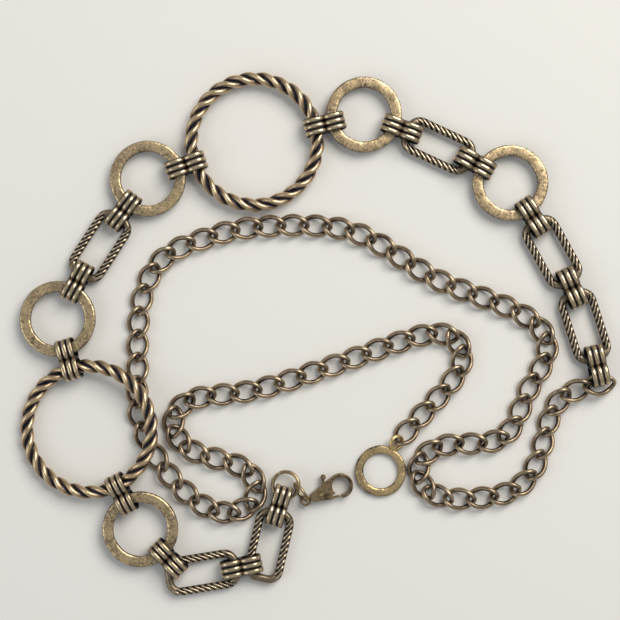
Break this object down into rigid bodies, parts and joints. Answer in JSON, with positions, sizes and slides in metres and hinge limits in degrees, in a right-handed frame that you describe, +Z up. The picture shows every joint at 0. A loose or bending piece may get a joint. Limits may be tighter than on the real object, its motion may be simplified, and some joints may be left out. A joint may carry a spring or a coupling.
{
  "type": "decorative chain",
  "caption": "Antique brass chain: ribbed eye connectors join rope rings, flat rings and long links, then a curb chain runs to a tag ring; a lobster clasp closes it.",
  "frame": {"origin": "middle of the whole lie in plan, at the height of the table under it", "axes": "+X is the longest way across the lie, towards the last decorative connector; +Y towards the second rope ring; +Z up off the table"},
  "size_m": [0.1987, 0.1745, 0.0093],
  "materials": {
    "clasp": "aged brass, satin, brighter on its edges",
    "lever": "aged brass, satin",
    "pin": "plain brass wire",
    "jump_ring": "drawn wire, brown with gold highlights",
    "connector": "polished ribs with blackened grooves",
    "long_link": "dark antique brass with worn ridges",
    "flat_ring": "worn gold plate, pitted and brown at the edges",
    "rope_ring": "polished strands with blackened grooves",
    "curb": "brown antique brass, semi-gloss",
    "tag": "yellow gold plate, lightly hammered"
  },
  "bodies": {
    "connector_01": {"connector_01": "connector"},
    "connector_02": {"connector_02": "connector"},
    "connector_03": {"connector_03": "connector"},
    "connector_04": {"connector_04": "connector"},
    "connector_05": {"connector_05": "connector"},
    "connector_06": {"connector_06": "connector"},
    "connector_07": {"connector_07": "connector"},
    "connector_08": {"connector_08": "connector"},
    "connector_09": {"connector_09": "connector"},
    "connector_10": {"connector_10": "connector"},
    "connector_11": {"connector_11": "connector"},
    "connector_12": {"connector_12": "connector"},
    "connector_13": {"connector_13": "connector"},
    "connector_14": {"connector_14": "connector"},
    "long_link_01": {"long_link_01": "long_link"},
    "long_link_02": {"long_link_02": "long_link"},
    "flat_ring_01": {"flat_ring_01": "flat_ring"},
    "rope_ring_01": {"rope_ring_01": "rope_ring"},
    "flat_ring_02": {"flat_ring_02": "flat_ring"},
    "long_link_03": {"long_link_03": "long_link"},
    "flat_ring_03": {"flat_ring_03": "flat_ring"},
    "rope_ring_02": {"rope_ring_02": "rope_ring"},
    "flat_ring_04": {"flat_ring_04": "flat_ring"},
    "long_link_04": {"long_link_04": "long_link"},
    "flat_ring_05": {"flat_ring_05": "flat_ring"},
    "long_link_05": {"long_link_05": "long_link"},
    "long_link_06": {"long_link_06": "long_link"},
    "curb_01": {"curb_01": "curb"},
    "curb_02": {"curb_02": "curb"},
    "curb_03": {"curb_03": "curb"},
    "curb_04": {"curb_04": "curb"},
    "curb_05": {"curb_05": "curb"},
    "curb_06": {"curb_06": "curb"},
    "curb_07": {"curb_07": "curb"},
    "curb_08": {"curb_08": "curb"},
    "curb_09": {"curb_09": "curb"},
    "curb_10": {"curb_10": "curb"},
    "curb_11": {"curb_11": "curb"},
    "curb_12": {"curb_12": "curb"},
    "curb_13": {"curb_13": "curb"},
    "curb_14": {"curb_14": "curb"},
    "curb_15": {"curb_15": "curb"},
    "curb_16": {"curb_16": "curb"},
    "curb_17": {"curb_17": "curb"},
    "curb_18": {"curb_18": "curb"},
    "curb_19": {"curb_19": "curb"},
    "curb_20": {"curb_20": "curb"},
    "curb_21": {"curb_21": "curb"},
    "curb_22": {"curb_22": "curb"},
    "curb_23": {"curb_23": "curb"},
    "curb_24": {"curb_24": "curb"},
    "curb_25": {"curb_25": "curb"},
    "curb_26": {"curb_26": "curb"},
    "curb_27": {"curb_27": "curb"},
    "jump_ring_large": {"jump_ring_large": "jump_ring"},
    "jump_ring_small": {"jump_ring_small": "jump_ring"},
    "tag_ring": {"tag_ring": "tag"},
    "clasp_lever": {"clasp_lever": "lever"},
    "clasp": {"clasp_body": "clasp", "clasp_pin": "pin"}
  },
  "joints": [
    {"name": "curb_bend_16", "type": "hinge", "parent": "curb_17", "child": "curb_16", "pos_m": [-0.05896, -0.03068, 0.00197], "axis": [0.2974, -0.9548, 0], "range_deg": [0, 4]},
    {"name": "curb_bend_15", "type": "hinge", "parent": "curb_16", "child": "curb_15", "pos_m": [-0.06055, -0.00779, 0.00197], "axis": [-1, 0.0095, 0], "range_deg": [0, 6]},
    {"name": "curb_bend_14", "type": "hinge", "parent": "curb_15", "child": "curb_14", "pos_m": [-0.05794, 0.01502, 0.00197], "axis": [-0.946, 0.3243, 0], "range_deg": [0, 6]},
    {"name": "curb_bend_13", "type": "hinge", "parent": "curb_14", "child": "curb_13", "pos_m": [-0.04273, 0.03013, 0.00197], "axis": [-0.3553, 0.9348, 0], "range_deg": [0, 6]},
    {"name": "curb_bend_12", "type": "hinge", "parent": "curb_13", "child": "curb_12", "pos_m": [-0.02038, 0.03559, 0.00197], "axis": [-0.0857, 0.9963, 0], "range_deg": [0, 6]},
    {"name": "curb_bend_11", "type": "hinge", "parent": "curb_12", "child": "curb_11", "pos_m": [0.00267, 0.0357, 0.00197], "axis": [0.1071, 0.9942, 0], "range_deg": [0, 6]},
    {"name": "curb_bend_10", "type": "hinge", "parent": "curb_11", "child": "curb_10", "pos_m": [0.02401, 0.02759, 0.00197], "axis": [0.5339, 0.8456, 0], "range_deg": [0, 6]},
    {"name": "curb_bend_09", "type": "hinge", "parent": "curb_10", "child": "curb_09", "pos_m": [0.04405, 0.01619, 0.00197], "axis": [0.3841, 0.9233, 0], "range_deg": [0, 6]},
    {"name": "curb_bend_08", "type": "hinge", "parent": "curb_09", "child": "curb_08", "pos_m": [0.06547, 0.0076, 0.00197], "axis": [0.4476, 0.8943, 0], "range_deg": [0, 6]},
    {"name": "curb_bend_07", "type": "hinge", "parent": "curb_08", "child": "curb_07", "pos_m": [0.07518, -0.00801, 0.00197], "axis": [-0.9553, 0.2957, 0], "range_deg": [0, 6]},
    {"name": "curb_bend_06", "type": "hinge", "parent": "curb_07", "child": "curb_06", "pos_m": [0.06561, -0.02854, 0.00197], "axis": [-0.8946, 0.4469, 0], "range_deg": [0, 6]},
    {"name": "curb_bend_05", "type": "hinge", "parent": "curb_06", "child": "curb_05", "pos_m": [0.04692, -0.03684, 0.00197], "axis": [-0.0512, 0.9987, 0], "range_deg": [0, 6]},
    {"name": "curb_bend_04", "type": "hinge", "parent": "curb_05", "child": "curb_04", "pos_m": [0.03406, -0.04753, 0.00197], "axis": [0.9747, 0.2233, 0], "range_deg": [0, 6]},
    {"name": "curb_bend_03", "type": "hinge", "parent": "curb_04", "child": "curb_03", "pos_m": [0.05074, -0.0549, 0.00197], "axis": [-0.0557, 0.9984, 0], "range_deg": [0, 6]},
    {"name": "curb_bend_02", "type": "hinge", "parent": "curb_03", "child": "curb_02", "pos_m": [0.07038, -0.0467, 0.00197], "axis": [-0.8244, 0.566, 0], "range_deg": [0, 6]},
    {"name": "curb_bend_01", "type": "hinge", "parent": "curb_02", "child": "curb_01", "pos_m": [0.07835, -0.02576, 0.00214], "axis": [-0.8998, 0.4362, 0], "range_deg": [0, 6]},
    {"name": "last_connector_lift", "type": "hinge", "parent": "curb_01", "child": "connector_14", "pos_m": [0.09405, -0.01679, 0.00345], "axis": [-0.225, 0.9744, 0], "range_deg": [0, 4]},
    {"name": "swing_h13", "type": "hinge", "parent": "connector_14", "child": "long_link_06", "pos_m": [0.09202, -0.008, 0.00265], "axis": [-0.309, 0.9511, 0], "range_deg": [0, 4]},
    {"name": "swing_c13", "type": "hinge", "parent": "long_link_06", "child": "connector_13", "pos_m": [0.08513, 0.01321, 0.00265], "axis": [-0.4067, 0.9135, 0], "range_deg": [0, 4]},
    {"name": "swing_h12", "type": "hinge", "parent": "connector_13", "child": "long_link_05", "pos_m": [0.08318, 0.01759, 0.00265], "axis": [-0.4848, 0.8746, 0], "range_deg": [0, 4]},
    {"name": "swing_c12", "type": "hinge", "parent": "long_link_05", "child": "connector_12", "pos_m": [0.07237, 0.0371, 0.00265], "axis": [-0.5446, 0.8387, 0], "range_deg": [0, 4]},
    {"name": "swing_h11", "type": "hinge", "parent": "connector_12", "child": "flat_ring_05", "pos_m": [0.06964, 0.04129, 0.00315], "axis": [-0.5446, 0.8387, 0], "range_deg": [0, 4]},
    {"name": "swing_c11", "type": "hinge", "parent": "flat_ring_05", "child": "connector_11", "pos_m": [0.05432, 0.05559, 0.00315], "axis": [0.4848, 0.8746, 0], "range_deg": [0, 8]},
    {"name": "swing_h10", "type": "hinge", "parent": "connector_11", "child": "long_link_04", "pos_m": [0.04994, 0.05801, 0.00265], "axis": [0.4226, 0.9063, 0], "range_deg": [0, 8]},
    {"name": "swing_c10", "type": "hinge", "parent": "long_link_04", "child": "connector_10", "pos_m": [0.02973, 0.06743, 0.00265], "axis": [0.3584, 0.9336, 0], "range_deg": [0, 8]},
    {"name": "swing_h09", "type": "hinge", "parent": "connector_10", "child": "flat_ring_04", "pos_m": [0.02507, 0.06923, 0.00315], "axis": [0.3584, 0.9336, 0], "range_deg": [0, 8]},
    {"name": "swing_c09", "type": "hinge", "parent": "flat_ring_04", "child": "connector_09", "pos_m": [0.0045, 0.07048, 0.00315], "axis": [-0.2419, 0.9703, 0], "range_deg": [0, 8]},
    {"name": "swing_h08", "type": "hinge", "parent": "connector_09", "child": "rope_ring_02", "pos_m": [-0.00112, 0.06908, 0.00375], "axis": [-0.2419, 0.9703, 0], "range_deg": [0, 8]},
    {"name": "swing_c08", "type": "hinge", "parent": "rope_ring_02", "child": "connector_08", "pos_m": [-0.04136, 0.05716, 0.00375], "axis": [-0.3256, 0.9455, 0], "range_deg": [0, 8]},
    {"name": "swing_h07", "type": "hinge", "parent": "connector_08", "child": "flat_ring_03", "pos_m": [-0.04684, 0.05527, 0.00315], "axis": [-0.3256, 0.9455, 0], "range_deg": [0, 8]},
    {"name": "swing_c07", "type": "hinge", "parent": "flat_ring_03", "child": "connector_07", "pos_m": [-0.06355, 0.04313, 0.00315], "axis": [-0.7986, 0.6018, 0], "range_deg": [0, 8]},
    {"name": "swing_h06", "type": "hinge", "parent": "connector_07", "child": "long_link_03", "pos_m": [-0.06692, 0.03866, 0.00265], "axis": [-0.8387, 0.5446, 0], "range_deg": [0, 8]},
    {"name": "swing_c06", "type": "hinge", "parent": "long_link_03", "child": "connector_06", "pos_m": [-0.07907, 0.01996, 0.00265], "axis": [-0.8829, 0.4695, 0], "range_deg": [0, 8]},
    {"name": "swing_h05", "type": "hinge", "parent": "connector_06", "child": "flat_ring_02", "pos_m": [-0.08193, 0.01457, 0.00323], "axis": [-0.8829, 0.4695, 0], "range_deg": [0, 8]},
    {"name": "swing_c05", "type": "hinge", "parent": "flat_ring_02", "child": "connector_05", "pos_m": [-0.08402, -0.00534, 0.00375], "axis": [-0.9613, -0.2756, 0], "range_deg": [0, 8]},
    {"name": "swing_h04", "type": "hinge", "parent": "connector_05", "child": "rope_ring_01", "pos_m": [-0.08229, -0.0114, 0.00468], "axis": [-0.9613, -0.2756, 0], "range_deg": [0, 8]},
    {"name": "swing_c04", "type": "hinge", "parent": "rope_ring_01", "child": "connector_04", "pos_m": [-0.06696, -0.0503, 0.00515], "axis": [-0.891, -0.454, 0], "range_deg": [-8, 8]},
    {"name": "swing_h03", "type": "hinge", "parent": "connector_04", "child": "flat_ring_01", "pos_m": [-0.06438, -0.05538, 0.00405], "axis": [-0.891, -0.454, 0], "range_deg": [-8, 8]},
    {"name": "swing_c03", "type": "hinge", "parent": "flat_ring_01", "child": "connector_03", "pos_m": [-0.05197, -0.07277, 0.00317], "axis": [-0.7193, -0.6947, 0], "range_deg": [-8, 8]},
    {"name": "swing_h02", "type": "hinge", "parent": "connector_03", "child": "long_link_02", "pos_m": [-0.04867, -0.07619, 0.00265], "axis": [-0.7193, -0.6947, 0], "range_deg": [-8, 8]},
    {"name": "swing_c02", "type": "hinge", "parent": "long_link_02", "child": "connector_02", "pos_m": [-0.02788, -0.07781, 0.00265], "axis": [0.2079, -0.9781, 0], "range_deg": [-8, 8]},
    {"name": "swing_h01", "type": "hinge", "parent": "connector_02", "child": "long_link_01", "pos_m": [-0.02333, -0.07684, 0.00265], "axis": [0.2079, -0.9781, 0], "range_deg": [-8, 8]},
    {"name": "swing_c01", "type": "hinge", "parent": "long_link_01", "child": "connector_01", "pos_m": [-0.01406, -0.05958, 0.00265], "axis": [0.9563, -0.2924, 0], "range_deg": [-8, 8]},
    {"name": "large_ring_swing", "type": "hinge", "parent": "connector_01", "child": "jump_ring_large", "pos_m": [-0.01142, -0.05095, 0.003], "axis": [0.9563, -0.2924, 0], "range_deg": [-8, 8]},
    {"name": "small_ring_swing", "type": "hinge", "parent": "jump_ring_large", "child": "jump_ring_small", "pos_m": [-0.00707, -0.05214, 0.00376], "axis": [-0.4067, -0.9135, 0], "range_deg": [-6, 6]},
    {"name": "clasp_swing", "type": "hinge", "parent": "jump_ring_small", "child": "clasp", "pos_m": [-0.00443, -0.05553, 0.00257], "axis": [0.3907, -0.9205, 0], "range_deg": [0, 10]},
    {"name": "lever_press", "type": "hinge", "parent": "clasp", "child": "clasp_lever", "pos_m": [0.001, -0.05323, 0.00226], "axis": [0.0482, 0.0204, 0.9986], "range_deg": [0, 25], "stiffness_Nm_per_rad": 0.0004, "springref_deg": -5.73},
    {"name": "curb_bend_17", "type": "hinge", "parent": "curb_17", "child": "curb_18", "pos_m": [-0.04707, -0.0502, 0.00197], "axis": [-0.7245, -0.6893, 0], "range_deg": [-8, 0]},
    {"name": "curb_bend_18", "type": "hinge", "parent": "curb_18", "child": "curb_19", "pos_m": [-0.02851, -0.05902, 0.00197], "axis": [0.1822, -0.9833, 0], "range_deg": [-8, 0]},
    {"name": "curb_bend_19", "type": "hinge", "parent": "curb_19", "child": "curb_20", "pos_m": [-0.02436, -0.04608, 0.00197], "axis": [0.6382, 0.7699, 0], "range_deg": [-8, 8]},
    {"name": "curb_bend_20", "type": "hinge", "parent": "curb_20", "child": "curb_21", "pos_m": [-0.04417, -0.03722, 0.00197], "axis": [0.6233, 0.782, 0], "range_deg": [-6, 10]},
    {"name": "curb_bend_21", "type": "hinge", "parent": "curb_21", "child": "curb_22", "pos_m": [-0.04284, -0.0226, 0.00197], "axis": [0.4167, -0.909, 0], "range_deg": [-8, 8]},
    {"name": "curb_bend_22", "type": "hinge", "parent": "curb_22", "child": "curb_23", "pos_m": [-0.02071, -0.01846, 0.00197], "axis": [0.2136, -0.9769, 0], "range_deg": [-6, 10]},
    {"name": "curb_bend_23", "type": "hinge", "parent": "curb_23", "child": "curb_24", "pos_m": [0.00137, -0.01171, 0.00197], "axis": [0.3185, -0.9479, 0], "range_deg": [-8, 8]},
    {"name": "curb_bend_24", "type": "hinge", "parent": "curb_24", "child": "curb_25", "pos_m": [0.02314, -0.00399, 0.00197], "axis": [0.3256, -0.9455, 0], "range_deg": [-6, 10]},
    {"name": "curb_bend_25", "type": "hinge", "parent": "curb_25", "child": "curb_26", "pos_m": [0.04391, -0.00158, 0.00197], "axis": [-0.508, -0.8613, 0], "range_deg": [-8, 8]},
    {"name": "curb_bend_26", "type": "hinge", "parent": "curb_26", "child": "curb_27", "pos_m": [0.04221, -0.01833, 0.00197], "axis": [-0.765, 0.644, 0], "range_deg": [-6, 10]},
    {"name": "tag_swing", "type": "hinge", "parent": "curb_27", "child": "tag_ring", "pos_m": [0.0259, -0.03634, 0.00205], "axis": [-0.8746, 0.4848, 0], "range_deg": [-8, 8]}
  ]
}
